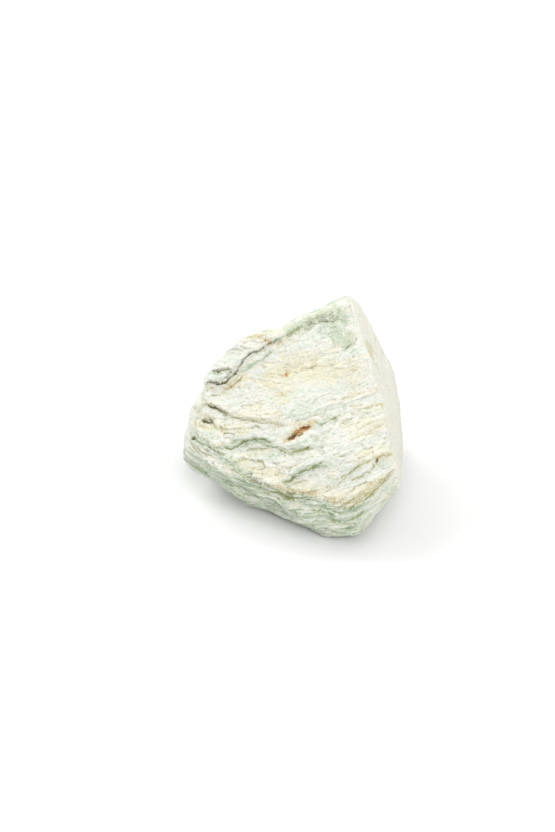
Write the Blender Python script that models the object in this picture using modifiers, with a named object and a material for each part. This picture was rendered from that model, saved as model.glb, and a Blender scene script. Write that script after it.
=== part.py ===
# Raw fuchsite: one broken chunk of pale green, layered mica rock, about 68 mm across.
# The broad pale face looks up and forward (-Y), a narrow smooth face closes the right
# side, and the stone rests on a small flat spot. Its layers run nearly along the broad
# face, so that face is scaly with low ledges and the faces below it show their edges.
# The origin is on the ground, under the middle of the stone's box.

import math

import bmesh
import bpy
from mathutils import Matrix, Vector, noise

MM = 0.001

# Driving dimensions, in millimetres
FRONT_CORNER = Vector((14.5, -32.0, 13.0))    # lowest corner of the broad face
LEFT_CORNER = Vector((-28.0, -8.5, 19.0))     # its left corner
PEAK = Vector((15.0, 17.0, 47.0))             # its top corner, the highest point
SKIN_STEP = 0.7          # spacing of the even skin that the relief is worked into
CORNER_WEAR = (2, 0.5)   # passes of smoothing that round the broken corners, and their strength
LIP_WEAR = (1, 0.3)      # the same for the finished relief
TRIANGLES = 9000         # triangles left in the finished solid

# The broad face is the plane of its three corners. Places on it are (u, v): u runs level
# to the right and v straight up the slope, both from the front corner.
FACE_UP = (FRONT_CORNER - LEFT_CORNER).cross(PEAK - LEFT_CORNER).normalized()
FACE_RIGHT = FACE_UP.cross(Vector((0, 0, 1))).normalized() * -1
FACE_SLOPE = FACE_UP.cross(FACE_RIGHT)
LEFT_END = (LEFT_CORNER - FRONT_CORNER).dot(FACE_RIGHT)

# Corners of the broad face, as (u, v)
LOWER_RIDGE = [(-47.0, 9.5), (-38.0, 5.5), (-28.0, 1.5), (-18.0, 0.0), (0.0, 0.0), (5.5, 4.0)]
UPPER_RIM = [(-46.5, 24.0), (-44.0, 34.5), (-36.5, 41.5), (-26.5, 48.0)]
RIGHT_RIDGE = [(-15.5, 57.5), (-9.5, 49.5), (-2.0, 39.0), (5.5, 26.5), (11.5, 13.0)]

# Corners of the other edges, as (x, y, z)
RIGHT_EDGE = [(17.0, 22.2, 48.0), (20.0, 23.5, 43.5), (25.0, 19.0, 34.5), (30.5, 14.5, 25.5),
              (32.0, 7.5, 18.0), (32.2, -5.0, 9.5), (31.0, -14.0, 10.0), (30.2, -21.8, 8.8)]
LEFT_EDGE = [(-27.7, 2.5, 21.5), (-30.0, -3.5, 15.5), (-32.0, -7.0, 9.5)]
FRONT_FOOT = [(-24.0, -11.5, 6.5), (-13.0, -17.0, 3.5), (0.0, -24.5, 2.5), (8.5, -32.0, 1.5),
              (18.0, -32.0, 1.8)]
BACK_EDGE = [(18.0, 27.5, 36.0), (-2.0, 27.0, 29.0), (-19.0, 19.0, 21.0), (-25.0, 9.0, 14.0),
             (27.0, 22.0, 16.0), (6.0, 32.5, 17.0), (-14.0, 25.0, 14.0)]
UNDERSIDE = [(22.0, 16.0, 6.0), (-1.0, 24.0, 5.5), (-18.0, 8.0, 5.5), (-9.0, -7.0, -0.8),
             (3.0, -13.5, -1.0), (13.5, -14.5, -0.8), (15.5, 5.0, -1.0), (6.0, 13.0, -0.8),
             (-7.5, 7.0, -0.8)]

# The slab left standing at the upper left, above the main crack
SLAB_OUTLINE = [(-48.3, 26.5), (-47.6, 31.3), (-45.7, 36.0), (-41.3, 42.8), (-35.0, 46.3),
                (-29.0, 46.0), (-32.5, 40.5), (-38.5, 36.0), (-43.0, 27.5)]
SLAB_BOTTOM = -4.0
SLAB_TOP = 1.4

# Low ledges across the broad face: path from left to right, lip height, how far it fades
LEDGES = [
    ([(-39.5, 13.0), (-34.5, 11.5), (-29.0, 14.0), (-23.0, 12.0), (-12.0, 16.0)], 1.1, 5.0),
    ([(-18.5, 3.5), (-14.5, 7.5), (-10.5, 10.0), (-5.0, 11.0)], 1.0, 4.0),
    ([(-4.0, 6.0), (-2.0, 9.0), (1.0, 12.0), (4.0, 14.5), (9.0, 16.0)], 1.0, 4.0),
    ([(-46.5, 20.5), (-39.5, 18.5), (-31.0, 19.0), (-20.0, 19.0)], 0.7, 5.0),
]
LEDGE_JAG = [(6.0, 0.9), (2.2, 0.5)]     # size and reach of the kinks along a ledge
LEDGE_EDGE = 0.4         # half the width of a ledge's step
CRACK_JAG = 0.4          # share of those kinks that a crack has

# Overlapping scales of the broad face, where the layers come to the surface
SCALE_STEP = 6.0         # from one scale's lip up the slope to the next
SCALE_HEIGHT = 0.9       # height of the tallest lips
SCALY_END = 24.0         # up to here on the slope the scales are at their tallest
SCALE_BOW = 0.007        # how fast the lips turn uphill towards the right
SCALE_WANDER = [(10.0, 1.0), (4.0, 0.4)]     # size of a lip's bends, their reach in steps

# Cracks and hollows in the broad face: path, half width, depth
MAIN_CRACK = [(-48.5, 26.0), (-45.0, 26.3), (-42.5, 27.6), (-40.0, 32.0), (-38.5, 36.5),
              (-35.5, 38.8), (-32.5, 41.0), (-29.0, 44.5)]
GROOVES = [
    (MAIN_CRACK, 0.9, 2.4),
    ([(-44.5, 24.5), (-41.0, 27.5)], 1.6, 1.5),
    ([(-29.0, 44.5), (-24.0, 49.5), (-16.0, 54.5)], 1.5, 1.1),
    ([(-9.5, 48.5), (-11.5, 44.0)], 0.8, 0.7),
    ([(-19.3, 15.2), (-15.6, 19.6)], 1.3, 1.1),
    ([(-45.0, 16.5), (-44.0, 15.0)], 1.8, 1.0),
]

# The layering of the rock
LAYER_UP = Vector((-0.12, -0.44, 0.89)).normalized()
LAYER_STEP = 2.6         # spacing of the bundles of layers that break off together
LAYER_RELIEF = 1.8       # how far one bundle can stand out beyond the next
LAYER_BENDS = [(17.0, 1.6), (6.0, 0.5)]      # size of the folds in the layers, their height
LAYER_REACH = 11.0       # length over which a bundle's edge swings in and out
WAVES = [(15.0, 0.9), (6.5, 0.5), (3.0, 0.25)]       # size of the lumps all over, their height

# The right side split along a joint, so it stays smoother than the rest. Each share is
# what a side loses of the lumps and layers.
SIDE_OUT = Vector((0.92, 0.06, 0.39)).normalized()
SIDE_CALM = 0.75
UNDER_CALM = 0.5
FACE_CALM = 0.35

GREEN_MICA = (0.66, 0.71, 0.58, 1.0)


def on_face(u, v, height=0.0):
    """The point of the broad face at (u, v), raised by height along its normal."""
    return FRONT_CORNER + FACE_RIGHT * u + FACE_SLOPE * v + FACE_UP * height


def soft_step(value, low, high):
    """0 below low, 1 above high, and a smooth rise between them."""
    part = min(max((value - low) / (high - low), 0.0), 1.0)
    return part * part * (3.0 - 2.0 * part)


def clear_scene():
    for item in list(bpy.data.objects):
        bpy.data.objects.remove(item, do_unlink=True)


def new_collection(name):
    group = bpy.data.collections.new(name)
    bpy.context.scene.collection.children.link(group)
    return group


def hull_object(name, points, group):
    """A closed block: the convex hull of corner points given in millimetres."""
    bm = bmesh.new()
    for point in points:
        bm.verts.new(Vector(point) * MM)
    hull = bmesh.ops.convex_hull(bm, input=bm.verts)
    inner = [item for item in hull["geom_interior"] if isinstance(item, bmesh.types.BMVert)]
    bmesh.ops.delete(bm, geom=inner, context="VERTS")
    mesh = bpy.data.meshes.new(name)
    bm.to_mesh(mesh)
    bm.free()
    block = bpy.data.objects.new(name, mesh)
    group.objects.link(block)
    return block


def settle_modifiers(item):
    """Turns the object's modifiers into its own mesh."""
    depsgraph = bpy.context.evaluated_depsgraph_get()
    mesh = bpy.data.meshes.new_from_object(item.evaluated_get(depsgraph))
    item.modifiers.clear()
    old = item.data
    item.data = mesh
    bpy.data.meshes.remove(old)


def rough_block(group):
    corners = [on_face(u, v) for u, v in LOWER_RIDGE + UPPER_RIM + RIGHT_RIDGE]
    corners += RIGHT_EDGE + LEFT_EDGE + FRONT_FOOT + BACK_EDGE + UNDERSIDE
    return hull_object("fuchsite_chunk", corners, group)


def upper_slab(group):
    corners = [on_face(u, v, SLAB_BOTTOM) for u, v in SLAB_OUTLINE]
    corners += [on_face(u, v, SLAB_TOP) for u, v in SLAB_OUTLINE]
    slab = hull_object("upper_slab", corners, group)
    slab.hide_render = True
    slab.display_type = "WIRE"
    return slab


def join_slab(block, slab):
    join = block.modifiers.new("slab", "BOOLEAN")
    join.operation = "UNION"
    join.solver = "EXACT"
    join.object = slab
    settle_modifiers(block)


def wear(block, amount):
    """Rounds every corner and edge a little."""
    passes, factor = amount
    bm = bmesh.new()
    bm.from_mesh(block.data)
    for _ in range(passes):
        bmesh.ops.smooth_vert(bm, verts=bm.verts, factor=factor,
                              use_axis_x=True, use_axis_y=True, use_axis_z=True)
    bm.to_mesh(block.data)
    bm.free()


def even_skin(block):
    """Gives the block a skin of even small faces, for the relief to be worked into."""
    skin = block.modifiers.new("skin", "REMESH")
    skin.mode = "VOXEL"
    skin.voxel_size = SKIN_STEP * MM
    settle_modifiers(block)


def bumps(waves, point, seed=(0, 0, 0)):
    """Sum of smooth random waves, each with its own size and height."""
    return sum(height * noise.noise(point / size + Vector(seed)) for size, height in waves)


def beside(path, u, v):
    """Distance of (u, v) from a path, positive on its uphill side, and the share along it."""
    best, side, share = 1e9, 1.0, 0.0
    pieces = len(path) - 1
    for index in range(pieces):
        (u0, v0), (u1, v1) = path[index], path[index + 1]
        run_u, run_v = u1 - u0, v1 - v0
        length = run_u * run_u + run_v * run_v
        t = min(max(((u - u0) * run_u + (v - v0) * run_v) / length, 0.0), 1.0)
        off_u, off_v = u - u0 - t * run_u, v - v0 - t * run_v
        distance = math.hypot(off_u, off_v)
        if distance < best:
            best = distance
            side = 1.0 if run_u * off_v - run_v * off_u >= 0.0 else -1.0
            share = (index + t) / pieces
    return best * side, share


def ledge_height(path, lip, fade, u, v):
    """A lip that stands up along the path's uphill side, over a hollow below it."""
    distance, share = beside(path, u, v)
    ends = soft_step(share, 0.0, 0.15) * soft_step(1.0 - share, 0.0, 0.15)
    rise = soft_step(distance, -LEDGE_EDGE, LEDGE_EDGE) - 0.4
    return lip * ends * rise * math.exp(-abs(distance) / fade)


def scale_height(point, u, v):
    """Scales that fall away uphill and then step up to the next one's lip."""
    bowed = v - SCALE_BOW * max(u - LEFT_END, 0.0) ** 2
    part = (bowed / SCALE_STEP + bumps(SCALE_WANDER, point)) % 1.0
    lip = 0.5 - part + soft_step(part, 0.86, 1.0)
    strength = soft_step(noise.noise(point / 11.0 + Vector((5, 1, 9))), -0.35, 0.45)
    plain = 0.6 * soft_step(v, SCALY_END - 12.0, SCALY_END + 6.0)
    return SCALE_HEIGHT * strength * (1.0 - plain) * lip


def groove_depth(path, half_width, depth, u, v):
    distance = abs(beside(path, u, v)[0])
    return depth * (1.0 - soft_step(distance, 0.15 * half_width, half_width))


def face_relief(point, u, v):
    """Scales, ledges, cracks and pits of the broad face, in millimetres along its normal."""
    jag_u = bumps(LEDGE_JAG, point)
    jag_v = bumps(LEDGE_JAG, point, seed=(7, 3, 1))
    height = scale_height(point, u, v)
    for path, lip, fade in LEDGES:
        height += ledge_height(path, lip, fade, u + jag_u, v + jag_v)
    u += CRACK_JAG * jag_u
    v += CRACK_JAG * jag_v
    for path, half_width, depth in GROOVES:
        height -= groove_depth(path, half_width, depth, u, v)
    return height


def layer_relief(point):
    """How far the bundle of layers at a point stands out where a face cuts across them."""
    level = (point.dot(LAYER_UP) + bumps(LAYER_BENDS, point)) / LAYER_STEP
    lower = math.floor(level)
    reach = []
    for layer in (lower, lower + 1):
        place = Vector((point.x / LAYER_REACH, point.y / LAYER_REACH, layer * 3.7))
        reach.append(noise.noise(place))
    change = soft_step(level - lower, 0.65, 1.0)
    return LAYER_RELIEF * (reach[0] * (1.0 - change) + reach[1] * change)


def relief(point, normal):
    """Total height to add at a skin point, in millimetres."""
    across = 1.0 - abs(normal.dot(LAYER_UP))
    height = bumps(WAVES, point) + soft_step(across, 0.05, 0.5) * layer_relief(point)
    height *= 1.0 - SIDE_CALM * soft_step(normal.dot(SIDE_OUT), 0.75, 0.95)
    height *= 1.0 - UNDER_CALM * soft_step(-normal.z, 0.6, 0.9)
    facing = soft_step(normal.dot(FACE_UP), 0.55, 0.85)
    if facing > 0.0:
        offset = point - FRONT_CORNER
        height *= 1.0 - FACE_CALM * facing
        height += facing * face_relief(point, offset.dot(FACE_RIGHT), offset.dot(FACE_SLOPE))
    return height


def work_relief(block):
    bm = bmesh.new()
    bm.from_mesh(block.data)
    bm.normal_update()
    moves = [vert.normal * relief(vert.co / MM, vert.normal) * MM for vert in bm.verts]
    for vert, move in zip(bm.verts, moves):
        vert.co += move
    bm.to_mesh(block.data)
    bm.free()


def thin_out(block):
    """Fewer, larger triangles where the surface is plain."""
    block.data.calc_loop_triangles()
    thin = block.modifiers.new("thin", "DECIMATE")
    thin.ratio = TRIANGLES / len(block.data.loop_triangles)
    thin.use_collapse_triangulate = True
    settle_modifiers(block)


def cut_resting_spot(block):
    """Cuts the underside off flat at the ground and closes the cut."""
    bm = bmesh.new()
    bm.from_mesh(block.data)
    everything = bm.verts[:] + bm.edges[:] + bm.faces[:]
    cut = bmesh.ops.bisect_plane(bm, geom=everything, dist=1e-7, plane_co=(0, 0, 0),
                                 plane_no=(0, 0, -1), clear_outer=True)
    rim = [item for item in cut["geom_cut"] if isinstance(item, bmesh.types.BMEdge)]
    bmesh.ops.contextual_create(bm, geom=rim)
    bmesh.ops.triangulate(bm, faces=bm.faces)
    bmesh.ops.recalc_face_normals(bm, faces=bm.faces)
    bm.to_mesh(block.data)
    bm.free()


def centre(block):
    """Moves the mesh so that the middle of its box is over the origin."""
    places = [vert.co for vert in block.data.vertices]
    middle_x = (min(p.x for p in places) + max(p.x for p in places)) / 2
    middle_y = (min(p.y for p in places) + max(p.y for p in places)) / 2
    block.data.transform(Matrix.Translation((-middle_x, -middle_y, 0.0)))


def rock_material():
    mica = bpy.data.materials.new("pale_green_mica_rock")
    mica.use_nodes = True
    shader = mica.node_tree.nodes["Principled BSDF"]
    shader.inputs["Base Color"].default_value = GREEN_MICA
    shader.inputs["Roughness"].default_value = 0.7
    shader.inputs["Metallic"].default_value = 0.0
    return mica


def main():
    clear_scene()
    stone_group = new_collection("raw_fuchsite")
    helper_group = new_collection("helpers")
    stone = rough_block(stone_group)
    join_slab(stone, upper_slab(helper_group))
    even_skin(stone)
    wear(stone, CORNER_WEAR)
    work_relief(stone)
    wear(stone, LIP_WEAR)
    thin_out(stone)
    cut_resting_spot(stone)
    centre(stone)
    stone.data.materials.append(rock_material())
    return stone


main()
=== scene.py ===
import math

import bmesh
import bpy
import numpy as np
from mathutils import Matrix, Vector, noise


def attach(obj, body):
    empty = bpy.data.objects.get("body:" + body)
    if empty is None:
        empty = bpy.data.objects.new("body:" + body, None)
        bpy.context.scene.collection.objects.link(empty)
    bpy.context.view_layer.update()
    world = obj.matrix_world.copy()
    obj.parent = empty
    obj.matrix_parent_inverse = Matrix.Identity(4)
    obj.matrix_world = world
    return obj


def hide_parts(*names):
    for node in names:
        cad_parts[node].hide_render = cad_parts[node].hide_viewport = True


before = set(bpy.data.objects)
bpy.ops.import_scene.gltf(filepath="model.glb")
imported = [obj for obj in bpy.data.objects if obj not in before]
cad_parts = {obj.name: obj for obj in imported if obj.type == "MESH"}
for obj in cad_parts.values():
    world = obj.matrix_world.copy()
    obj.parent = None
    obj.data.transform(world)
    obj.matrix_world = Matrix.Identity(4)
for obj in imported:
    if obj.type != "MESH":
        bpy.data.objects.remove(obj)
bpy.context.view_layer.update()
mm = 0.001

# The broad face is the plane of these corners, in mm. A place on it is (u, v): u runs
# level to the right and v straight up the slope, both from the front corner.
frontCorner = Vector((13.92, -31.83, 13.0))
leftCorner = Vector((-28.58, -8.33, 19.0))
peak = Vector((14.42, 17.17, 47.0))
faceUp = (frontCorner - leftCorner).cross(peak - leftCorner).normalized()
faceRight = -faceUp.cross(Vector((0, 0, 1))).normalized()
faceSlope = faceUp.cross(faceRight)
leftEnd = (leftCorner - frontCorner).dot(faceRight)

# The layers lie a little flatter than the broad face and curve up out of it to the right.
layering = {
    "dip": 0.157,          # mm that a layer sinks under the face for each mm up the slope
    "rowRise": 0.0073,     # mm that a row of scales turns uphill for each square mm to the right
}
layerUp = (faceUp + faceSlope * layering["dip"]).normalized()
sideOut = Vector((0.92, 0.06, 0.39)).normalized()    # out of the smooth right side
seedShift = np.array((3.17, 7.71, 5.39))     # takes each seed to another part of the noise


def softStep(value, low, high):   # 0 below low, 1 above high, smooth between
    part = np.clip((value - low) / (high - low), 0.0, 1.0)
    return part * part * (3.0 - 2.0 * part)


def noiseAt(places, size, seed=0):   # smooth random wave, about -1 to 1, one value a place
    shifted = places / np.array(size) + seedShift * seed
    return np.array([noise.noise(place) for place in shifted.tolist()])


def bumps(places, waves, seed=0):   # waves of several sizes added together
    return sum(height * noiseAt(places, size, seed + step) for step, (size, height) in enumerate(waves))


def vertexValues(mesh, name):   # one row of three numbers for each vertex
    values = np.empty(len(mesh.vertices) * 3)
    mesh.vertices.foreach_get(name, values)
    return values.reshape(-1, 3)


class Skin:   # the stone's points and normals, in mm, with their places in the layers
    def __init__(self, mesh):
        self.mesh = mesh
        self.read()
        self.broad = self.normals     # which way the stone faces there, before any relief

    def read(self):
        self.points = vertexValues(self.mesh, "co") / mm
        self.normals = vertexValues(self.mesh, "normal")
        offset = self.points - np.array(frontCorner)
        self.u = offset @ np.array(faceRight)
        self.v = offset @ np.array(faceSlope)
        self.out = offset @ np.array(faceUp)
        self.row = self.v - layering["rowRise"] * np.maximum(self.u - leftEnd, 0.0) ** 2
        self.level = self.out + layering["dip"] * self.row
        self.layered = np.column_stack((self.u, self.row, self.out))

    def moveBy(self, moves):
        moved = self.points + moves
        moved[:, 2] = np.maximum(moved[:, 2], 0.0)      # nothing sinks below the resting spot
        self.mesh.vertices.foreach_set("co", (moved * mm).ravel())
        self.mesh.update()
        self.read()

    def raiseBy(self, height):   # moves each point along its normal
        self.moveBy(self.normals * height[:, None])


def settle(item):   # turns the modifiers into the item's own mesh
    evaluated = item.evaluated_get(bpy.context.evaluated_depsgraph_get())
    mesh = bpy.data.meshes.new_from_object(evaluated)
    item.modifiers.clear()
    old = item.data
    item.data = mesh
    bpy.data.meshes.remove(old)


# The distance from a path, positive uphill of one that runs to the right, and the share along it
def beside(path, u, v):
    nearest = np.full(len(u), np.inf)
    side = np.ones(len(u))
    share = np.zeros(len(u))
    pieces = len(path) - 1
    for index, ((u0, v0), (u1, v1)) in enumerate(zip(path, path[1:])):
        runU, runV = u1 - u0, v1 - v0
        part = np.clip(((u - u0) * runU + (v - v0) * runV) / (runU ** 2 + runV ** 2), 0.0, 1.0)
        offU, offV = u - u0 - part * runU, v - v0 - part * runV
        distance = np.hypot(offU, offV)
        near = distance < nearest
        nearest = np.where(near, distance, nearest)
        side = np.where(near, np.where(runU * offV - runV * offU >= 0.0, 1.0, -1.0), side)
        share = np.where(near, (index + part) / pieces, share)
    return nearest * side, share


# The stone

stoneSettings = {
    "weld": 0.001,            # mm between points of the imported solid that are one
    "coarseStep": 0.4,        # mm between the points of the skin that the facets are worn off
    "facetPasses": 12,        # smoothing that takes the solid's flat facets away
    "fineStep": 0.2,          # mm between the points that the fine relief is worked into
    "finePasses": 4,
    "smoothing": 0.5,         # how far one pass takes a point towards its neighbours
    "facingPasses": 60,       # smoothing that leaves only which way the stone faces
    "creases": (8, 0.08),     # smoothing passes, and the depth in mm that counts as full
    "hollows": (80, 0.5),
    "triangles": 194000,      # left in the finished piece
}
grooveFill = {
    "cell": 0.3,              # mm between the heights that the wide grooves are filled from
    "margin": 20,             # empty cells round them
    "empty": -90.0,           # mm, below all of the stone
    "reach": 6,               # cells: grooves up to twice this wide are filled
    "beside": (2.6, 4.0),     # mm from the crack: filled up to the first, not past the second
    "deepest": (4.0, 5.0),    # mm: what is deeper is no groove but the stone's end
}
regions = {   # the two values that each one fades between
    "faceTurn": (0.35, 0.7),      # the broad face, by how far the stone turns its way: 1 is fully
    "faceDepth": (-7.0, -4.0),    # and by mm out from its plane
    "sideTurn": (0.62, 0.92),     # the smooth right side, by how far the stone turns its way
    "layerTurn": (0.55, 0.9),     # the layers' steps, by how far it turns the layers' way
    "edgeTurn": (0.75, 0.97),     # the end of the layers' cut edges, likewise
    "bandTurn": (0.72, 0.95),     # the end of the green and pale bands, likewise
    "bandSide": (0.25, 0.65),     # their end towards the right side
    "paleHeight": (10.0, 17.0),   # the pale left end, by mm up
    "paleRun": (4.0, 10.0),       # and its own end, by mm from the left corner
    "spotRelief": (0.0, 1.2),     # the relief, by mm up from the resting spot
    "spotGrain": (0.0, 0.8),      # and the grain
}
seeds = {
    "grain": 21,
    "ledgeU": 31,
    "ledgeV": 37,
    "crackU": 32,
    "crackV": 38,
    "shallow": 35,
    "stainU": 71,
    "stainV": 77,
    "sideEdge": 81,
    "sideLumps": 91,
    "sideStain": 97,
}
sideSettings = {
    "wander": (3.0, 0.10),        # size in mm and reach of the waves along the smooth side's edge
    "lumps": [(6.0, 0.5), (2.5, 0.2)],    # size and height in mm
    "relief": 0.55,               # share of the relief that the side is spared
    "grain": 0.6,                 # and of the grain
    "paleEnd": 0.85,              # share of the bands that the left end is spared
}
mainCrack = [(-48.3, 26.6), (-46.5, 27.3), (-44.5, 27.1), (-43.0, 27.8), (-41.3, 30.2), (-40.0, 32.3),
             (-39.1, 35.0), (-38.4, 37.0), (-35.8, 38.6), (-35.0, 39.7), (-31.7, 42.5), (-28.9, 44.8)]
oliveGroove = [(-29.0, 44.7), (-26.7, 47.1), (-24.9, 49.3), (-22.8, 50.5), (-20.4, 51.9), (-16.6, 52.6)]
crackRight = [(-9.5, 48.5), (-9.7, 47.3), (-11.6, 44.4), (-12.7, 41.7)]
lowerRidge = [(-47.7, 10.2), (-40.8, 8.3), (-32.7, 4.3), (-28.0, 2.1), (-16.9, 0.4), (-5.7, 0.8)]
ledges = [   # path, and in mm the lip's height, how far it fades, the depth of the crease at its foot
    ([(-39.3, 13.2), (-37.1, 13.4), (-35.1, 13.5)], 0.6, 2.0, 0.4),
    ([(-38.1, 9.3), (-35.9, 9.6), (-33.3, 12.2), (-31.4, 13.3), (-28.5, 13.8), (-24.9, 13.4)],
     1.3, 3.0, 0.5),
    ([(-26.5, 13.6), (-22.4, 12.0), (-20.0, 11.6), (-17.4, 12.6), (-12.5, 15.2)], 0.7, 2.6, 0.25),
    ([(-31.4, 9.1), (-31.2, 10.4), (-29.7, 11.2), (-25.1, 12.1)], 0.6, 1.6, 0.4),
    ([(-23.2, 8.0), (-20.3, 8.1)], 0.4, 1.5, 0.3),
    ([(-18.7, 6.8), (-16.9, 7.4), (-15.9, 8.4)], 0.5, 1.6, 0.4),
    ([(-19.3, 2.6), (-17.4, 3.8), (-16.1, 5.6), (-14.1, 7.5), (-12.5, 8.6), (-8.6, 11.6)], 1.3, 2.6, 0.6),
    ([(-3.0, 6.9), (-3.0, 8.2), (-0.8, 10.3), (1.5, 12.5)], 1.0, 2.2, 0.4),
    ([(-0.7, 7.6), (2.6, 10.0), (4.1, 11.2), (4.9, 12.7), (4.6, 13.9)], 0.9, 2.0, 0.4),
    ([(4.6, 14.8), (7.6, 16.7), (9.3, 17.3)], 0.8, 2.2, 0.3),
    ([(-4.7, 13.2), (-2.9, 14.3), (-2.0, 15.1)], 0.5, 1.5, 0.4),
    ([(5.5, 20.9), (6.6, 22.3), (7.8, 23.5)], 0.5, 1.8, 0.3),
    ([(1.2, 16.7), (3.4, 17.9)], 0.3, 1.5, 0.3),
    ([(-10.3, 23.2), (-9.3, 24.6), (-8.0, 25.5)], 0.4, 1.8, 0.3),
    ([(-7.0, 22.7), (-6.2, 24.1), (-4.3, 25.2)], 0.4, 1.8, 0.3),
    ([(-39.1, 18.1), (-35.7, 18.6), (-28.8, 18.4), (-26.3, 19.2), (-20.8, 18.7)], 0.35, 2.2, 0.25),
    ([(-46.3, 20.8), (-42.1, 19.9), (-39.7, 18.9)], 0.6, 2.2, 0.3),
    ([(-23.0, 35.8), (-19.5, 37.8), (-18.5, 38.2)], 0.4, 1.8, 0.3),
    ([(-42.7, 25.9), (-41.2, 27.2), (-38.9, 29.8), (-38.5, 31.4)], 0.6, 1.5, 0.3),
    ([(-45.2, 36.7), (-42.4, 37.7), (-40.0, 37.7)], 0.5, 1.6, 0.4),
    ([(-41.3, 39.0), (-39.1, 38.4)], 0.5, 1.2, 0.4),
    ([(-22.1, 51.4), (-18.2, 52.3), (-16.6, 52.3)], 0.8, 1.6, 0.3),
    (lowerRidge, 0.5, 1.6, 0.0),
    ([(-0.8, -0.5), (1.3, 0.3), (2.8, 1.2)], 0.5, 1.5, 0.5),
    (mainCrack, 0.8, 3.0, 0.0),
    (mainCrack, 0.4, 0.6, 0.0),
]
cracks = [   # path, half width and depth in mm
    (mainCrack[:6], 0.26, 1.6),
    (mainCrack[5:9], 0.20, 1.4),
    (mainCrack[8:], 0.17, 1.0),
    (crackRight[:3], 0.20, 0.7),
    (crackRight[2:], 0.15, 0.4),
    (oliveGroove, 1.2, 0.35),
    ([(-46.3, 30.1), (-44.2, 30.2), (-42.3, 31.2)], 0.4, 0.6),
    ([(-19.9, 15.4), (-19.4, 16.2), (-19.0, 17.0)], 0.8, 1.1),
    ([(-18.6, 17.4), (-17.9, 18.4)], 0.6, 0.5),
    ([(-17.8, 18.9), (-16.9, 19.8), (-15.6, 19.9)], 0.38, 1.1),
    ([(5.4, 14.2), (5.5, 14.4)], 0.45, 0.9),
    ([(-45.7, 20.5), (-44.9, 20.3)], 0.40, 0.8),
    ([(-44.1, 20.2), (-43.2, 19.8)], 0.45, 1.0),
    ([(-42.4, 19.7), (-41.6, 19.2)], 0.35, 0.9),
    ([(-46.1, 16.0), (-44.7, 15.5), (-43.2, 16.2)], 0.55, 1.0),
    ([(-47.3, 10.0), (-47.2, 10.2)], 0.6, 1.2),
    ([(-42.8, 9.0), (-40.4, 8.0), (-37.8, 7.2)], 0.6, 0.4),
    ([(-26.1, 33.7), (-26.0, 33.8)], 0.4, 0.4),
]
lineShape = {
    "kinks": [(2.6, 0.45), (0.9, 0.26)],         # size and reach in mm, of ledges and cracks
    "crackKinks": [(1.1, 0.30), (0.55, 0.20)],   # and more of them in cracks
    "shallow": 1.4,           # mm, the stretches where a crease or a crack is shallower
    "shallowLimits": (-0.5, 0.2),
    "creaseLeast": 0.3,       # share of its depth that a shallow stretch keeps
    "crackLeast": 0.5,
    "ends": 0.12,             # share of its length in which a ledge dies out
    "raised": 0.6,            # share of the lip's height that stands up uphill of the line
    "sunk": 0.4,              # and that is taken away below it
    "lipEdge": 0.18,          # mm from the line to the lip's full height
    "uphillFade": 2.2,        # how many times farther the lip fades uphill
    "creaseDown": 0.15,       # mm from the line down to the crease
    "creaseWidth": 0.2,       # from its middle to where it is a third as deep
    "crackFloor": 0.1,        # share of its half width where a crack is at its deepest
}
# Thin layers that end in steps: thickness in mm, wander as the waves' size along u, row and out
# and their reach in layers, the share of a layer that its riser takes, the size of the stretches
# where it is broken away, and how much lower it gets up the slope
plateSets = [
    {"thick": 1.1, "wander": [((11.0, 5.0, 8.0), 1.2), ((3.4, 1.8, 3.0), 0.40), ((1.1, 0.7, 1.0), 0.13)],
     "riser": 0.05, "broken": (5.0, 2.4, 4.0), "lower": 0.75, "seed": 13},
    {"thick": 0.50, "wander": [((7.0, 3.0, 6.0), 1.3), ((2.2, 1.1, 2.2), 0.5), ((0.8, 0.5, 0.8), 0.2)],
     "riser": 0.10, "broken": (2.6, 1.3, 2.0), "lower": 0.4, "seed": 3},
    {"thick": 0.24, "wander": [((4.0, 1.8, 3.0), 1.5), ((1.1, 0.7, 1.1), 0.55)],
     "riser": 0.20, "broken": (1.6, 0.9, 1.4), "lower": 0.2, "seed": 9},
]
plateShape = {
    "patches": (12.0, 7.0, 9.0),      # mm, the stretches where the steps are high or low
    "patchLimits": (-0.35, 0.35),
    "patchLeast": 0.3,                # share of its height that a low step keeps
    "patchSeed": 50,
    "brokenLimits": (-0.2, 0.25),
    "brokenLeast": 0.2,
    "brokenSeed": 60,
    "upper": (14.0, 26.0),            # mm up the slope, where the steps get lower
}
# Tilted flakes: size in mm along u, row and out, how unevenly they lie and how high their lips stand
flakeSets = [
    {"size": (2.6, 1.4, 1.6), "uneven": 0.15, "lip": 0.14, "seed": 41},
    {"size": (1.1, 0.75, 0.9), "uneven": 0.13, "lip": 0.10, "seed": 43},
]
flakeShape = {
    "bendSize": 0.6,                  # of the flakes' outlines, in flake sizes
    "bend": 0.3,
    "patches": (11.0, 6.0, 6.0),      # mm, the stretches with strong or faint flakes
    "patchLimits": (-0.4, 0.3),
    "patchLeast": 0.4,
    "patchSeed": 9,
    "scatter": (12.99, 78.23, 37.72),     # with the next, turns a flake's place into its own random share
    "scatterBy": 4375.85,
}
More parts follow.
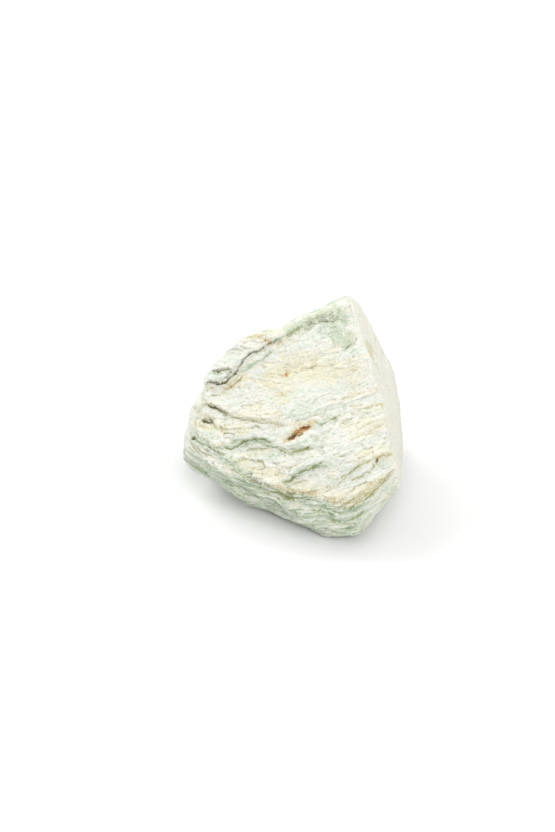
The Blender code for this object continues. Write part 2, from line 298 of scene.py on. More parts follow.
# Layer edges where a side cuts across them: thickness, reach and length in mm, and how the layers bend
edgeSets = [
    {"thick": 1.5, "reach": 1.0, "length": 8.0, "bends": [(14.0, 1.2), (4.0, 0.3)], "seed": 5},
    {"thick": 0.6, "reach": 0.6, "length": 5.0, "bends": [(9.0, 1.8), (2.5, 0.3)], "seed": 6},
    {"thick": 0.27, "reach": 0.3, "length": 2.5, "bends": [(7.0, 2.6), (2.0, 0.5)], "seed": 7},
]
edgeShape = {
    "apart": 3.7,           # from one layer's waves to the next one's
    "step": (0.75, 1.0),    # share of a layer's thickness where its reach turns into the next one's
}
grains = [(1.0, 0.10), (0.5, 0.11)]     # size and height in mm


def stoneSkin(node):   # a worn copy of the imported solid, with no facets left
    bm = bmesh.new()
    bm.from_mesh(node.data)
    bmesh.ops.remove_doubles(bm, verts=bm.verts, dist=stoneSettings["weld"] * mm)
    mesh = bpy.data.meshes.new("fuchsiteStone")
    bm.to_mesh(mesh)
    bm.free()
    stone = bpy.data.objects.new("fuchsiteStone", mesh)
    bpy.context.scene.collection.objects.link(stone)
    evenOut(stone, stoneSettings["coarseStep"], stoneSettings["facetPasses"])
    return stone


def evenOut(stone, step, passes):   # an even skin of small faces, smoothed a little
    even = stone.modifiers.new("even", "REMESH")
    even.mode = "VOXEL"
    even.voxel_size = step * mm
    wear = stone.modifiers.new("wear", "SMOOTH")
    wear.factor = stoneSettings["smoothing"]
    wear.iterations = passes
    settle(stone)


def spread(heights, take):   # each cell takes its neighbours' highest or lowest
    for shift in ((0, 1), (0, -1), (1, 0), (-1, 0)):
        heights = take(heights, np.roll(heights, shift, axis=(0, 1)))
    return heights


def fillGrooves(stone):   # the solid's grooves are wide, so they are filled before narrow ones are cut
    skin = Skin(stone.data)
    cell = grooveFill["cell"]
    margin = grooveFill["margin"]
    column = ((skin.u - skin.u.min()) / cell).astype(int) + margin
    line = ((skin.v - skin.v.min()) / cell).astype(int) + margin
    heights = np.full((line.max() + margin + 1, column.max() + margin + 1), grooveFill["empty"])
    np.maximum.at(heights, (line, column), skin.out)
    for reach in (1, grooveFill["reach"]):      # first the empty cells between points, then the grooves
        for step in range(reach):
            heights = spread(heights, np.maximum)
        for step in range(reach):
            heights = spread(heights, np.minimum)
    near = np.abs(beside(mainCrack + oliveGroove, skin.u, skin.v)[0])
    fill = heights[line, column] - skin.out
    share = (1.0 - softStep(near, *grooveFill["beside"])) * (1.0 - softStep(fill, *grooveFill["deepest"]))
    skin.moveBy((share * fill)[:, None] * np.array(faceUp))


def dropCrumbs(stone):   # the fine skin has a few loose crumbs, one cell wide, beside the stone
    bm = bmesh.new()
    bm.from_mesh(stone.data)
    waiting = [max(bm.verts, key=lambda vert: vert.co.z)]      # the peak belongs to the stone
    kept = set(waiting)
    while waiting:
        vert = waiting.pop()
        for edge in vert.link_edges:
            other = edge.other_vert(vert)
            if other not in kept:
                kept.add(other)
                waiting.append(other)
    crumbs = [vert for vert in bm.verts if vert not in kept]
    bmesh.ops.delete(bm, geom=crumbs, context="VERTS")
    bm.to_mesh(stone.data)
    bm.free()


def faceShare(skin):   # 1 on the broad face, 0 round the corner from it
    turned = softStep(skin.broad @ np.array(faceUp), *regions["faceTurn"])
    return turned * softStep(skin.out, *regions["faceDepth"])


def atLeast(least, share):     # a share of 0 to 1 that never falls under the least
    return least + (1.0 - least) * share


def plateRelief(skin, plate):
    level = skin.level / plate["thick"] + bumps(skin.layered, plate["wander"], plate["seed"])
    part = level % 1.0
    height = np.clip((part - 1.0) / plate["riser"] + 1.0, 0.0, 1.0) - part + 0.5
    strength = noiseAt(skin.layered, plateShape["patches"], plate["seed"] + plateShape["patchSeed"])
    strength = atLeast(plateShape["patchLeast"], softStep(strength, *plateShape["patchLimits"]))
    broken = noiseAt(skin.layered, plate["broken"], plate["seed"] + plateShape["brokenSeed"])
    broken = atLeast(plateShape["brokenLeast"], softStep(broken, *plateShape["brokenLimits"]))
    upper = plate["lower"] * softStep(skin.v, *plateShape["upper"])
    return plate["thick"] * height * strength * broken * (1.0 - upper)


def flakeRelief(skin, flake):
    size = np.array(flake["size"])
    bend = [noiseAt(skin.layered, size * flakeShape["bendSize"], flake["seed"] + axis) for axis in range(3)]
    places = skin.layered / size + flakeShape["bend"] * np.column_stack(bend)
    middles = np.array([tuple(noise.voronoi(place)[1][0]) for place in places.tolist()])
    chance = np.sin(middles @ np.array(flakeShape["scatter"])) * flakeShape["scatterBy"] % 1.0
    downhill = middles[:, 1] - places[:, 1]
    strength = noiseAt(skin.layered, flakeShape["patches"], flake["seed"] + flakeShape["patchSeed"])
    strength = atLeast(flakeShape["patchLeast"], softStep(strength, *flakeShape["patchLimits"]))
    return strength * (flake["uneven"] * (chance - 0.5) + flake["lip"] * downhill)


def edgeRelief(skin, edge):
    level = skin.level / edge["thick"] + bumps(skin.points, edge["bends"], edge["seed"])
    lower = np.floor(level)
    reach = []
    for layer in (lower, lower + 1.0):
        along = np.column_stack((skin.u / edge["length"], skin.row / edge["length"],
                                 layer * edgeShape["apart"]))
        reach.append(noiseAt(along, 1.0, edge["seed"]))
    change = softStep(level - lower, *edgeShape["step"])
    return edge["reach"] * (reach[0] * (1.0 - change) + reach[1] * change)


def sideCalm(skin):   # 1 where the right side stays smooth
    size, reach = sideSettings["wander"]
    turned = skin.broad @ np.array(sideOut) + reach * noiseAt(skin.points, size, seeds["sideEdge"])
    return softStep(turned, *regions["sideTurn"])


def foliate(skin):   # the layers' steps, edges and flakes
    turned = np.abs(skin.broad @ np.array(layerUp))
    height = np.zeros(len(turned))
    for plate in plateSets:
        height += softStep(turned, *regions["layerTurn"]) * plateRelief(skin, plate)
    for edge in edgeSets:
        height += (1.0 - softStep(turned, *regions["edgeTurn"])) * edgeRelief(skin, edge)
    for flake in flakeSets:
        height += flakeRelief(skin, flake)
    calm = sideCalm(skin)
    height *= (1.0 - sideSettings["relief"] * calm) * softStep(skin.points[:, 2], *regions["spotRelief"])
    height += calm * bumps(skin.points, sideSettings["lumps"], seeds["sideLumps"])
    skin.raiseBy(height)


def kinked(skin):   # places on the face for the ledges and for the cracks, which then run in kinks
    ledgeU = skin.u + bumps(skin.layered, lineShape["kinks"], seeds["ledgeU"])
    ledgeV = skin.v + bumps(skin.layered, lineShape["kinks"], seeds["ledgeV"])
    crackU = ledgeU + bumps(skin.layered, lineShape["crackKinks"], seeds["crackU"])
    crackV = ledgeV + bumps(skin.layered, lineShape["crackKinks"], seeds["crackV"])
    return (ledgeU, ledgeV), (crackU, crackV)


def cutLines(skin, ledgePlaces, crackPlaces):   # the ledges, cracks and pits that the broad face shows
    shape = lineShape
    edge = shape["lipEdge"]
    whole = softStep(noiseAt(skin.layered, shape["shallow"], seeds["shallow"]), *shape["shallowLimits"])
    creaseDepth = atLeast(shape["creaseLeast"], whole)
    crackDepth = atLeast(shape["crackLeast"], whole)
    height = np.zeros(len(skin.u))
    for path, lip, fade, foot in ledges:
        distance, along = beside(path, *ledgePlaces)
        ends = softStep(along, 0.0, shape["ends"]) * softStep(1.0 - along, 0.0, shape["ends"])
        above = shape["raised"] * softStep(distance, -edge, edge)
        above *= np.exp(-np.maximum(distance, 0.0) / (shape["uphillFade"] * fade))
        below = shape["sunk"] * softStep(-distance, -edge, edge)
        below *= np.exp(-np.maximum(-distance, 0.0) / fade)
        height += lip * ends * (above - below)
        crease = np.exp(-((distance + shape["creaseDown"]) / shape["creaseWidth"]) ** 2)
        height -= foot * ends * creaseDepth * crease
    for path, halfWidth, depth in cracks:
        distance = np.abs(beside(path, *crackPlaces)[0])
        height -= depth * crackDepth * (1.0 - softStep(distance, shape["crackFloor"] * halfWidth, halfWidth))
    skin.moveBy((faceShare(skin) * height)[:, None] * np.array(faceUp))


def roughen(skin):   # the sugary grain of the whole stone
    height = bumps(skin.points, grains, seeds["grain"])
    calm = sideCalm(skin)
    height *= (1.0 - sideSettings["grain"] * calm) * softStep(skin.points[:, 2], *regions["spotGrain"])
    skin.raiseBy(height)


def wornValues(stone, passes, name):   # the points or normals of a smoothed copy
    worn = stone.modifiers.new("worn", "SMOOTH")
    worn.factor = stoneSettings["smoothing"]
    worn.iterations = passes
    values = vertexValues(stone.evaluated_get(bpy.context.evaluated_depsgraph_get()).data, name)
    stone.modifiers.clear()
    return values


def keepHollows(stone, name, passes, reach):   # 0 on lips, 0.5 where flat, 1 in creases
    smooth = wornValues(stone, passes, "co") / mm
    skin = Skin(stone.data)
    sunk = np.einsum("ij,ij->i", smooth - skin.points, skin.normals)
    keep(stone.data, name, np.clip(0.5 + 0.5 * sunk / reach, 0.0, 1.0))


def keep(mesh, name, values):   # a number for each vertex, for the material to read
    attribute = mesh.attributes.new(name, "FLOAT", "POINT")
    attribute.data.foreach_set("value", values.astype(np.float32))


def thinOut(stone):
    stone.data.calc_loop_triangles()
    thin = stone.modifiers.new("thin", "DECIMATE")
    thin.ratio = stoneSettings["triangles"] / len(stone.data.loop_triangles)
    thin.use_collapse_triangulate = True
    settle(stone)


stains = {   # for each stain: path, half width in mm, strength
    "rust": [
        ([(-19.8, 15.4), (-18.7, 17.4)], 1.5, 0.8),
        ([(-18.7, 17.4), (-17.0, 19.4), (-15.8, 20.0)], 1.2, 0.7),
        ([(-19.9, 15.4), (-19.3, 16.6)], 0.9, 1.4),
        ([(-17.6, 19.1), (-16.9, 19.8), (-15.7, 20.0)], 0.6, 1.4),
        ([(-26.2, 33.5), (-26.0, 34.0)], 0.6, 0.8),
        ([(-25.2, 26.8), (-25.0, 27.3)], 0.7, 0.4),
        ([(-35.8, 42.3), (-33.4, 41.9)], 0.7, 0.5),
        ([(5.3, 14.2), (5.6, 14.5)], 0.5, 0.8),
    ],
    "warm": [
        ([(-29.0, 32.0), (-24.0, 36.0), (-15.0, 37.5)], 7.0, 0.9),
        ([(-26.0, 26.0), (-24.0, 29.0)], 4.0, 0.7),
        ([(-34.0, 22.5), (-30.0, 23.5)], 3.0, 0.5),
        ([(-9.0, 40.0), (-6.0, 33.0)], 4.0, 0.6),
        ([(-39.0, 43.0), (-30.0, 46.0), (-22.0, 53.0)], 2.5, 0.6),
        ([(-46.5, 14.5), (-39.1, 14.7), (-33.0, 14.5)], 3.0, 0.8),
        ([(-46.0, 21.5), (-38.0, 19.5), (-28.0, 18.5), (-18.0, 19.5)], 2.0, 0.35),
        ([(-2.0, 28.0), (4.0, 30.0)], 3.0, 0.6),
        ([(2.0, 14.0), (10.0, 18.0)], 4.0, 0.6),
        ([(-33.0, 6.0), (-16.0, 3.0), (0.0, 2.5), (9.0, 9.0)], 3.0, 0.7),
        ([(-43.0, 25.5), (-38.0, 30.0)], 2.5, 0.6),
    ],
    "ochre": [
        ([(-39.5, 18.3), (-35.7, 18.9), (-31.5, 18.7), (-26.3, 19.5), (-20.8, 19.2)], 0.9, 0.5),
        ([(-39.6, 42.6), (-37.1, 42.5), (-33.4, 42.0)], 2.0, 0.8),
        ([(-24.0, 36.0), (-18.5, 38.2)], 0.9, 0.5),
        ([(-26.6, 33.2), (-25.8, 34.4)], 1.6, 0.7),
        ([(-27.0, 27.0), (-24.0, 27.6)], 1.2, 0.5),
        ([(-0.6, 29.0), (3.3, 30.7)], 0.9, 1.0),
        ([(-5.2, 28.5), (-2.9, 29.1)], 0.7, 0.8),
        ([(-20.0, 1.4), (-14.6, 1.0), (-9.3, 1.8)], 1.5, 1.0),
        ([(-4.3, 1.1), (0.1, 0.4), (4.9, 3.6)], 1.4, 0.85),
        ([(4.0, 4.5), (8.8, 9.5), (11.4, 11.9)], 1.9, 0.95),
        ([(-20.8, 14.8), (-18.3, 17.9), (-15.4, 20.8)], 2.2, 1.1),
        ([(-46.5, 14.2), (-39.1, 14.7)], 1.6, 0.5),
        ([(-46.0, 20.6), (-39.7, 19.2)], 1.4, 0.7),
        ([(4.6, 14.8), (9.3, 17.3)], 1.2, 0.7),
        ([(-42.7, 25.4), (-38.9, 29.4)], 1.1, 0.8),
        ([(-36.0, 38.6), (-30.0, 43.0)], 1.2, 0.5),
        ([(-33.0, 3.6), (-28.0, 1.6), (-20.0, 0.6)], 1.0, 0.6),
    ],
    "olive": [
        ([(-28.3, 44.8), (-25.6, 46.8), (-24.1, 49.2), (-21.7, 51.4), (-17.8, 53.5)], 2.2, 0.5),
        ([(-46.3, 30.1), (-42.3, 31.2)], 1.2, 0.8),
        ([(-46.3, 20.6), (-42.1, 19.8), (-39.7, 18.8)], 1.2, 0.7),
        ([(-46.1, 16.0), (-43.2, 16.2)], 1.3, 0.7),
        ([(-47.4, 10.0), (-47.1, 10.2)], 0.8, 1.0),
        ([(-42.8, 8.8), (-37.8, 6.9)], 1.6, 0.35),
        (lowerRidge[3:], 1.4, 0.40),
        ([(8.0, 9.0), (11.0, 11.6)], 0.8, 0.7),
    ],
    "green": [
        ([(-28.0, 46.5), (-23.0, 51.5), (-17.5, 55.0), (-14.6, 53.4)], 3.6, 0.85),
        ([(-18.8, 49.5), (-15.5, 49.0), (-11.5, 46.5)], 4.2, 0.75),
        # runs just under a ledge's lip: partly green mica, partly painted shadow under the lip
        ([(-38.1, 8.9), (-33.3, 11.7), (-28.5, 13.3), (-24.9, 13.0)], 1.5, 0.8),
        (lowerRidge[:4], 2.4, 0.8),
        # runs just under a ledge's lip: partly green mica, partly painted shadow under the lip
        ([(-17.4, 3.5), (-14.1, 7.1), (-10.7, 9.5)], 1.3, 0.9),
        ([(-12.8, 22.0), (-9.0, 23.4)], 2.0, 0.7),
        ([(-46.5, 29.5), (-42.0, 30.5)], 2.2, 0.6),
        ([(-30.0, 9.5), (-22.0, 10.5)], 2.5, 0.4),
        ([(-18.0, 12.0), (-11.0, 17.0)], 3.0, 0.5),
    ],
}
stainShape = {   # shares of a stroke's half width, unless they say otherwise
    "kinks": [(3.0, 0.7), (1.0, 0.35)],     # size and reach in mm, along the stains' edges
    "core": 0.25,           # at full strength
    "crackCore": 0.2,       # the same of a crack's dirt and painted shade
    "mostCrackDirtAndShade": 1.1,        # strength of the dirt and painted shade in a crack, however deep it is
}
sideStain = {   # an ochre cloud on the smooth right side
    "place": (22.3, 8.0, 37.2),     # mm
    "radius": 5.0,
    "lobes": 2.0,
    "ragged": 0.5,          # how far its lobes reach, as a share of the radius
    "strength": 0.85,
}


def paintStains(skin, crackPlaces):
    share = faceShare(skin)
    u = skin.u + bumps(skin.layered, stainShape["kinks"], seeds["stainU"])
    v = skin.v + bumps(skin.layered, stainShape["kinks"], seeds["stainV"])
    for name, strokes in stains.items():
        amount = np.zeros(len(u))
        for path, halfWidth, strength in strokes:
            distance = np.abs(beside(path, u, v)[0])
            stroke = 1.0 - softStep(distance, stainShape["core"] * halfWidth, halfWidth)
            amount = np.maximum(amount, strength * stroke)
        if name == "olive":     # olive in the cracks and pits, stronger the deeper they are: partly dirt, partly painted shade
            for path, halfWidth, depth in cracks:
                distance = np.abs(beside(path, *crackPlaces)[0])
                crackDirtAndShade = 1.0 - softStep(distance, stainShape["crackCore"] * halfWidth, halfWidth)
                amount = np.maximum(amount, min(depth, stainShape["mostCrackDirtAndShade"]) * crackDirtAndShade)
        amount *= share
        if name == "ochre":
            apart = np.linalg.norm(skin.points - np.array(sideStain["place"]), axis=1)
            lobes = noiseAt(skin.points, sideStain["lobes"], seeds["sideStain"])
            apart += sideStain["radius"] * sideStain["ragged"] * lobes
            cloud = 1.0 - softStep(apart, 0.0, sideStain["radius"])
            amount = np.maximum(amount, sideStain["strength"] * cloud)
        keep(skin.mesh, name, amount)


def keepPlaces(stone):   # where each point lies in the layers, for the patterns of the material
    skin = Skin(stone.data)
    attribute = stone.data.attributes.new("layers", "FLOAT_VECTOR", "POINT")
    places = np.column_stack((skin.u, skin.row, skin.level)) * mm
    attribute.data.foreach_set("vector", places.astype(np.float32).ravel())


def bandShare(skin):   # 1 where a side cuts across the layers, so that they show as bands
    across = 1.0 - softStep(np.abs(skin.broad @ np.array(layerUp)), *regions["bandTurn"])
    across *= 1.0 - softStep(skin.broad @ np.array(sideOut), *regions["bandSide"])
    pale = softStep(skin.points[:, 2], *regions["paleHeight"])
    pale *= 1.0 - softStep(skin.u - leftEnd, *regions["paleRun"])
    return across * (1.0 - sideSettings["paleEnd"] * pale)


def makeStone():
    stone = stoneSkin(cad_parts["fuchsite_chunk"])
    fillGrooves(stone)
    evenOut(stone, stoneSettings["fineStep"], stoneSettings["finePasses"])
    dropCrumbs(stone)
    print("skin", len(stone.data.vertices), "points")
    skin = Skin(stone.data)
    skin.broad = wornValues(stone, stoneSettings["facingPasses"], "normal")
    keep(stone.data, "cut", bandShare(skin))
    keep(stone.data, "joint", sideCalm(skin))
    foliate(skin)
    print("layers worked in")
    ledgePlaces, crackPlaces = kinked(skin)
    paintStains(skin, crackPlaces)
    cutLines(skin, ledgePlaces, crackPlaces)
    print("ledges and cracks cut")
    roughen(skin)
    print("grain worked in")
    keepHollows(stone, "crease", *stoneSettings["creases"])
    keepHollows(stone, "hollow", *stoneSettings["hollows"])
    thinOut(stone)
    print("thinned to", len(stone.data.polygons), "triangles")
    keepPlaces(stone)
    stone.data.shade_smooth()
    return stone


# Materials

def linear(hexColour):   # an sRGB hex colour as linear numbers
    channels = [int(hexColour[place:place + 2], 16) / 255 for place in (1, 3, 5)]
    return [c / 12.92 if c <= 0.04045 else ((c + 0.055) / 1.055) ** 2.4 for c in channels] + [1.0]


# A node with its settings, its values or links by input, and its ramp's positions and colours
def addNode(tree, kind, settings=None, inputs=None, stops=None):
    node = tree.nodes.new("ShaderNode" + kind)
    for name, value in (settings or {}).items():
        setattr(node, name, value)
    for key, value in (inputs or {}).items():
        if isinstance(value, bpy.types.NodeSocket):
            tree.links.new(value, node.inputs[key])
        else:
            node.inputs[key].default_value = value
    for index, (position, colour) in enumerate(stops or []):
        ramp = node.color_ramp.elements
        element = ramp[index] if index < len(ramp) else ramp.new(position)
        element.position = position
        element.color = linear(colour)
    return node


def perMetre(sizes):   # how often patterns of these sizes in mm repeat in a metre
    return [1.0 / (size * mm) for size in sizes]


schist = {
    "cream": "#F2EFE2",               # sRGB
    "mint": "#E5ECDC",
    "chalk": "#F0F1E9",
    "sage": "#AFC3A0",
    "deepGreen": "#72916C",
    "darkOlive": "#737034",
    # the next two are multiplied into creases and hollows: partly an olive tint, partly painted shade
    "crease": "#D8D7AC",
    "hollow": "#E2DFAE",
    "ochre": "#C8B56C",
    "rust": "#C48A4A",
    "darkRust": "#5C3C16",
    "beige": "#EFECDF",
    "sandTint": "#EDE7C6",
    "ior": 1.58,                      # muscovite mica
    "patches": (9.0, 5.0, 2.0),       # mm along u, row and level
    "bands": (6.2, 6.2, 0.67),
    "micaGrains": (1.1, 0.53, 0.53),
    "flakes": (0.67, 0.43, 0.43),     # the real ones are 0.1 to 0.3, too fine to show
    "mottle": 1.8,                    # mm
    "grit": 0.38,
    "sugar": 0.36,                    # the real grains are about 0.1, too fine to show
    "bandShare": 0.85,                # how much of each coat shows where there is most of it
    "jointShare": 0.8,
    "grainShare": 0.40,
    "creaseShadeShare": 0.7,
    "hollowTintAndShadeShare": 0.85,
    "lipWearAndHighlightShare": 0.5,
    "ragged": 2.1,                    # how far the mottle and grit break up a stain
    "flakeTilt": 0.8,                 # of the flakes, beside a grain of 1
    "bump": 0.28,                     # mm that the flakes and grains stand out
    "roughness": (0.42, 0.78),        # of the flakes, from the shiniest to the dullest
}
stainCoats = {   # colour, and how much of it shows
    "warm": ("sandTint", 0.8),
    "green": ("sage", 0.75),
    "ochre": ("ochre", 0.62),
    "olive": ("darkOlive", 0.75),
}
rustCoats = {   # where the stain's strength starts and fills the coat, and how much of it shows
    "rust": (0.35, 0.8, 1.0),
    "darkRust": (0.95, 1.35, 0.85),
}


# Mica schist, broken and left rough: dull and sugary from afar, with a satin gleam where a
# flat flake of mica faces the light. Green mica tints it, and iron stains it along the cracks.
def schistMaterial():
    material = bpy.data.materials.new("micaSchist")
    material.use_nodes = True
    tree = material.node_tree
    shader = tree.nodes["Principled BSDF"]
    shader.inputs["IOR"].default_value = schist["ior"]
    mask = {}
    for name in ("cut", "joint", "crease", "hollow", "warm", "rust", "ochre", "olive", "green"):
        mask[name] = addNode(tree, "Attribute", {"attribute_name": name}).outputs["Fac"]
    layers = addNode(tree, "Attribute", {"attribute_name": "layers"}).outputs["Vector"]
    place = addNode(tree, "TexCoord").outputs["Object"]
    drawn = {}      # the layers' places, counted in patches, bands, grains or flakes
    for name in ("patches", "bands", "micaGrains", "flakes"):
        drawn[name] = addNode(tree, "VectorMath", {"operation": "MULTIPLY"},
                              {0: layers, 1: perMetre(schist[name])}).outputs[0]
    coats = []      # from the rock outwards: share, colour, way of mixing

    # Patches of cream, mint and chalk, stretched along the layers
    patches = addNode(tree, "TexNoise", {},
                      {"Vector": drawn["patches"], "Scale": 1.0, "Detail": 5.0, "Roughness": 0.65})
    rock = addNode(tree, "ValToRGB", {}, {"Fac": patches.outputs["Fac"]},
                   [(0.36, schist["mint"]), (0.47, schist["chalk"]), (0.56, schist["cream"]),
                    (0.70, schist["sandTint"])])

    # Sides that cut across the layers show them as green and pale bands
    bands = addNode(tree, "TexNoise", {},
                    {"Vector": drawn["bands"], "Scale": 1.0, "Detail": 6.0, "Roughness": 0.72})
    banded = addNode(tree, "ValToRGB", {}, {"Fac": bands.outputs["Fac"]},
                     [(0.34, schist["deepGreen"]), (0.46, schist["sage"]), (0.57, schist["mint"]),
                      (0.68, schist["cream"])])
    cutShare = addNode(tree, "Math", {"operation": "MULTIPLY"}, {0: mask["cut"], 1: schist["bandShare"]})
    coats.append((cutShare.outputs[0], banded.outputs["Color"], "MIX"))

    # The joint side is smooth and beige
    jointShare = addNode(tree, "Math", {"operation": "MULTIPLY"},
                         {0: mask["joint"], 1: schist["jointShare"]})
    coats.append((jointShare.outputs[0], linear(schist["beige"]), "MIX"))

    # Grains of darker mica, drawn out along the rows
    grains = addNode(tree, "TexNoise", {},
                     {"Vector": drawn["micaGrains"], "Scale": 1.0, "Detail": 3.0, "Roughness": 0.75})
    grainShare = addNode(tree, "MapRange", {},
                         {"Value": grains.outputs["Fac"], "From Min": 0.50, "From Max": 0.68,
                          "To Max": schist["grainShare"]})
    coats.append((grainShare.outputs[0], linear(schist["sage"]), "MIX"))

    # Stains: soft wide clouds broken up by patches and by single grains
    patchy = addNode(tree, "TexNoise", {},
                     {"Vector": place, "Scale": perMetre([schist["mottle"]])[0], "Detail": 3.0,
                      "Roughness": 0.6})
    gritty = addNode(tree, "TexNoise", {},
                     {"Vector": place, "Scale": perMetre([schist["grit"]])[0], "Detail": 2.0,
                      "Roughness": 0.6})
    mottle = addNode(tree, "Math", {"operation": "ADD"},
                     {0: patchy.outputs["Fac"], 1: gritty.outputs["Fac"]})
    uneven = addNode(tree, "Math", {"operation": "MULTIPLY_ADD"},      # about 0 on average
                     {0: mottle.outputs[0], 1: schist["ragged"], 2: -schist["ragged"]})
    raised = {}
    inside = {}
    for name in [*stainCoats, "rust"]:
        raised[name] = addNode(tree, "Math", {"operation": "ADD"},
                               {0: mask[name], 1: uneven.outputs[0]}).outputs[0]
        inside[name] = addNode(tree, "MapRange", {}, {"Value": mask[name], "From Max": 0.3}).outputs[0]
    for name, (colour, most) in stainCoats.items():
        present = addNode(tree, "MapRange", {}, {"Value": raised[name], "From Min": 0.2, "To Max": most})
        share = addNode(tree, "Math", {"operation": "MULTIPLY"},
                        {0: present.outputs[0], 1: inside[name]})
        coats.append((share.outputs[0], linear(schist[colour]), "MIX"))

    # Creases and hollows are multiplied darker and olive: partly an olive tint, partly painted shade where
    # less light reaches. Lips are mixed chalky: partly wear, partly a painted highlight
    creaseShadeShare = addNode(tree, "MapRange", {},
                          {"Value": mask["crease"], "From Min": 0.62, "From Max": 0.95,
                           "To Max": schist["creaseShadeShare"]})
    coats.append((creaseShadeShare.outputs[0], linear(schist["crease"]), "MULTIPLY"))
    hollowTintAndShadeShare = addNode(tree, "MapRange", {},
                          {"Value": mask["hollow"], "From Min": 0.58, "From Max": 0.90,
                           "To Max": schist["hollowTintAndShadeShare"]})
    coats.append((hollowTintAndShadeShare.outputs[0], linear(schist["hollow"]), "MULTIPLY"))
    lipWearAndHighlightShare = addNode(tree, "MapRange", {},
                       {"Value": mask["crease"], "From Min": 0.45, "From Max": 0.1,
                        "To Max": schist["lipWearAndHighlightShare"]})
    coats.append((lipWearAndHighlightShare.outputs[0], linear(schist["chalk"]), "MIX"))

    # The rust is a crust over all of it, darkest in its middle
    for colour, (first, full, most) in rustCoats.items():
        present = addNode(tree, "MapRange", {},
                          {"Value": raised["rust"], "From Min": first, "From Max": full, "To Max": most})
        share = addNode(tree, "Math", {"operation": "MULTIPLY"},
                        {0: present.outputs[0], 1: inside["rust"]})
        coats.append((share.outputs[0], linear(schist[colour]), "MIX"))

    seen = rock.outputs["Color"]
    for share, colour, way in coats:
        coat = addNode(tree, "Mix", {"data_type": "RGBA", "blend_type": way},
                       {0: share, 6: seen, 7: colour})      # the factor and the two colours
        seen = coat.outputs[2]
    tree.links.new(seen, shader.inputs["Base Color"])

    # Flat flakes of mica, each tipped its own way, over a sugary grain
    flakes = addNode(tree, "TexVoronoi", {}, {"Vector": drawn["flakes"], "Scale": 1.0})
    fromMiddle = addNode(tree, "VectorMath", {"operation": "SUBTRACT"},
                         {0: drawn["flakes"], 1: flakes.outputs["Position"]})
    tip = addNode(tree, "VectorMath", {"operation": "SUBTRACT"},
                  {0: flakes.outputs["Color"], 1: (0.5, 0.5, 0.5)})
    tilted = addNode(tree, "VectorMath", {"operation": "DOT_PRODUCT"},
                     {0: fromMiddle.outputs[0], 1: tip.outputs[0]})
    sugar = addNode(tree, "TexNoise", {},
                    {"Vector": place, "Scale": perMetre([schist["sugar"]])[0], "Detail": 3.0,
                     "Roughness": 0.7})
    height = addNode(tree, "Math", {"operation": "MULTIPLY_ADD"},
                     {0: tilted.outputs["Value"], 1: schist["flakeTilt"], 2: sugar.outputs["Fac"]})
    bump = addNode(tree, "Bump", {}, {"Height": height.outputs[0], "Distance": schist["bump"] * mm})
    tree.links.new(bump.outputs["Normal"], shader.inputs["Normal"])
    shiniest, dullest = schist["roughness"]
    gloss = addNode(tree, "MapRange", {},
                    {"Value": flakes.outputs["Color"], "To Min": shiniest, "To Max": dullest})
    tree.links.new(gloss.outputs[0], shader.inputs["Roughness"])
    return material


stone = makeStone()
stone.data.materials.clear()
stone.data.materials.append(schistMaterial())
print("mica schist laid on")
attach(stone, "root")
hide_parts("fuchsite_chunk")

# The pale floor, the light and the camera

floorSettings = {
    "halfSide": 3.0,        # m
    "drop": 0.05,           # mm below the stone
    "white": 0.79,
    "roughness": 0.9,
    "glow": 0.7,            # far off, so that low views end in white
    "glowFrom": 0.3,        # m from the stone
    "glowFull": 1.2,
}
backdropSettings = {
    "radius": 2.9,          # m
    "sides": 64,
    "foot": -0.1,
    "height": 3.0,
    "glow": 1.0,
}


def addStaged(name, bm, paint):   # a piece of the studio, which isn't part of the stone
    mesh = bpy.data.meshes.new(name)
    bm.to_mesh(mesh)
    bm.free()
    mesh.materials.append(paint)
    item = bpy.data.objects.new(name, mesh)
    bpy.context.scene.collection.objects.link(item)
    return item


# Matt white card: evenly white with no gleam, lit from within where it is far from the stone
def cardMaterial():
    material = bpy.data.materials.new("whiteCard")
    material.use_nodes = True
    tree = material.node_tree
    shader = tree.nodes["Principled BSDF"]
    shader.inputs["Base Color"].default_value = [floorSettings["white"]] * 3 + [1.0]
    shader.inputs["Roughness"].default_value = floorSettings["roughness"]
    shader.inputs["Emission Color"].default_value = (1.0, 1.0, 1.0, 1.0)
    place = addNode(tree, "TexCoord").outputs["Object"]
    away = addNode(tree, "VectorMath", {"operation": "LENGTH"}, {0: place}).outputs["Value"]
    glow = addNode(tree, "MapRange", {},
                   {"Value": away, "From Min": floorSettings["glowFrom"],
                    "From Max": floorSettings["glowFull"], "To Max": floorSettings["glow"]})
    tree.links.new(glow.outputs[0], shader.inputs["Emission Strength"])
    return material


# Lit white cloth behind it all: an even white with no shading
def backdropMaterial():
    material = bpy.data.materials.new("whiteBackdrop")
    material.use_nodes = True
    shader = material.node_tree.nodes["Principled BSDF"]
    shader.inputs["Base Color"].default_value = (0.0, 0.0, 0.0, 1.0)
    shader.inputs["Emission Color"].default_value = (1.0, 1.0, 1.0, 1.0)
    shader.inputs["Emission Strength"].default_value = backdropSettings["glow"]
    return material


bm = bmesh.new()
bmesh.ops.create_grid(bm, x_segments=1, y_segments=1, size=floorSettings["halfSide"])
floor = addStaged("floor", bm, cardMaterial())
floor.location.z = -floorSettings["drop"] * mm

bm = bmesh.new()
bmesh.ops.create_circle(bm, segments=backdropSettings["sides"], radius=backdropSettings["radius"])
raised = bmesh.ops.extrude_edge_only(bm, edges=bm.edges[:])
rim = [item for item in raised["geom"] if isinstance(item, bmesh.types.BMVert)]
bmesh.ops.translate(bm, verts=bm.verts, vec=(0.0, 0.0, backdropSettings["foot"]))
bmesh.ops.translate(bm, verts=rim, vec=(0.0, 0.0, backdropSettings["height"]))
wall = addStaged("backdrop", bm, backdropMaterial())
wall.visible_diffuse = False        # it is seen, but throws no light or shadow on the stone
wall.visible_glossy = False
wall.visible_shadow = False

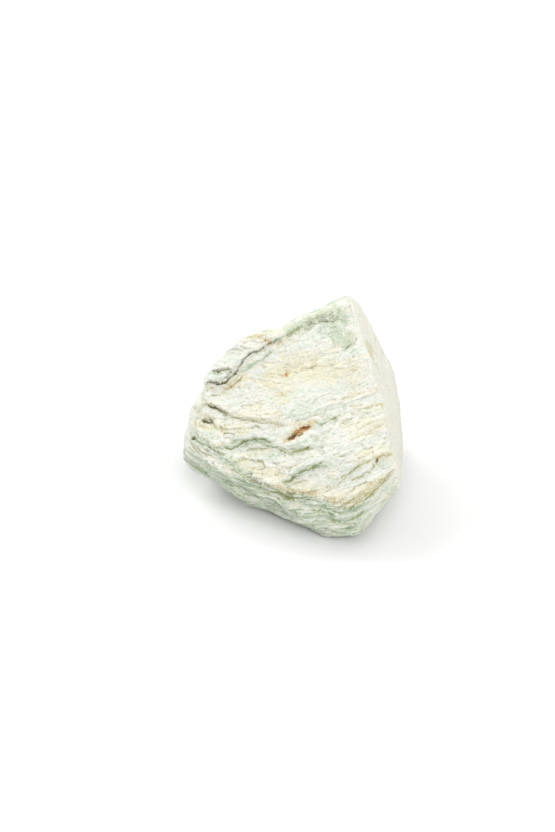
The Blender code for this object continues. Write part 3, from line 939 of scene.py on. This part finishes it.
lightSettings = {
    "roomGlow": 0.3,              # strength of the even white light from all round
    "softboxSide": 0.35,          # m
    "aim": (0.0, 0.0, 0.02),      # m, inside the stone
}
softboxes = {   # place in m, watts
    "topSoftbox": ((0.0, 0.0, 0.7), 0.65),
    "backLeftSoftbox": ((-0.35, 0.35, 0.5), 1.9),
    "backRightSoftbox": ((0.35, 0.35, 0.5), 1.4),
    "leftSoftbox": ((-0.6, -0.05, 0.35), 0.4),
    "frontSoftbox": ((0.0, -0.5, 0.5), 1.5),
    "frontRightSoftbox": ((0.4, -0.4, 0.4), 1.8),
    "lowBackSoftbox": ((0.0, 0.65, 0.25), 0.7),
    "lowBackLeftSoftbox": ((-0.45, 0.45, 0.25), 1.2),
    "lowLeftSoftbox": ((-0.65, 0.0, 0.2), 0.5),
}

world = bpy.data.worlds.new("studio")
bpy.context.scene.world = world
world.use_nodes = True
room = world.node_tree.nodes["Background"]
room.inputs["Color"].default_value = (1.0, 1.0, 1.0, 1.0)
room.inputs["Strength"].default_value = lightSettings["roomGlow"]

for name, (place, watts) in softboxes.items():
    lampData = bpy.data.lights.new(name, "AREA")
    lampData.size = lightSettings["softboxSide"]
    lampData.energy = watts
    lamp = bpy.data.objects.new(name, lampData)
    lamp.location = place
    lamp.rotation_euler = (Vector(lightSettings["aim"]) - lamp.location).to_track_quat("-Z", "Y").to_euler()
    bpy.context.scene.collection.objects.link(lamp)

cameraSettings = {
    "lens": 80.0,                           # mm
    "sensor": 36.0,                         # mm
    "place": (-0.00428, -0.42633, 0.330),   # m
    "tilt": 54.0,                           # degrees up from straight down
}
cameraData = bpy.data.cameras.new("camera")
cameraData.lens = cameraSettings["lens"]
cameraData.sensor_width = cameraSettings["sensor"]
camera = bpy.data.objects.new("camera", cameraData)
camera.location = cameraSettings["place"]
camera.rotation_euler = (math.radians(cameraSettings["tilt"]), 0.0, 0.0)
bpy.context.scene.collection.objects.link(camera)
bpy.context.scene.camera = camera
bpy.context.scene.view_settings.view_transform = "Standard"     # keeps white as white
print("studio set up")
